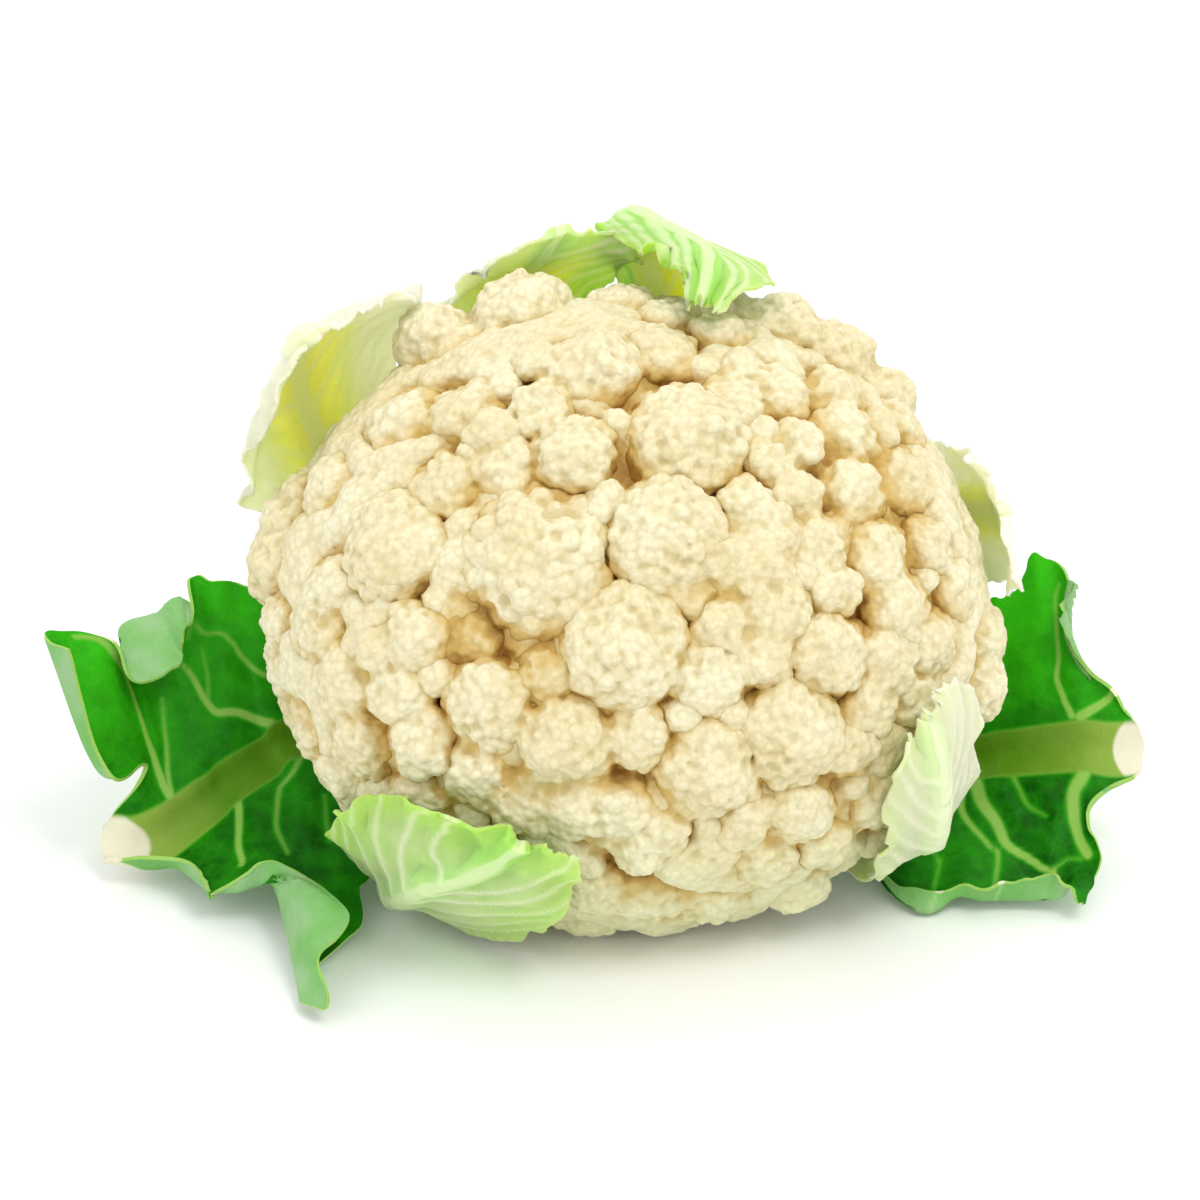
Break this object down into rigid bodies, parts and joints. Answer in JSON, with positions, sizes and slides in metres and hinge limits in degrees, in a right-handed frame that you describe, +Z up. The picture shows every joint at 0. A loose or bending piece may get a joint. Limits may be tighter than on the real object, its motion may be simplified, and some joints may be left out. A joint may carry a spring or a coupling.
{
  "type": "cauliflower",
  "caption": "Trimmed head of cauliflower: domed cream curd of clustered florets, pale inner leaves hugging it, dark outer leaves cut short, and a cut stalk.",
  "frame": {"origin": "middle of the flat on the underside of the curd, where it rests on the surface", "axes": "+Z up; -Y towards the viewer, the way the domed face of the curd leans; +X to the viewer's right, across the two outer leaves. The head lies tilted with its axis 35 degrees above the horizon towards -Y, and its stalk end behind."},
  "size_m": [0.2571, 0.1507, 0.1447],
  "materials": {
    "curd": "matte cream curd; stands in for cauliflower flesh",
    "stalk": "satin pale green stalk; stands in for cauliflower flesh",
    "pale_leaf": "satin pale green inner leaf",
    "dark_leaf": "waxy dark green outer leaf"
  },
  "bodies": {
    "root": {"curd": "curd", "stalk": "stalk", "leaf_front": "pale_leaf", "leaf_lower_right": "pale_leaf", "leaf_right": "pale_leaf", "leaf_upper_left": "pale_leaf", "leaf_top_left": "pale_leaf", "leaf_top_right": "pale_leaf", "leaf_outer_left": "dark_leaf", "leaf_outer_right": "dark_leaf", "cut_base_upper_right": "pale_leaf", "cut_base_lower": "pale_leaf", "cut_base_upper_left": "pale_leaf"}
  },
  "joints": []
}
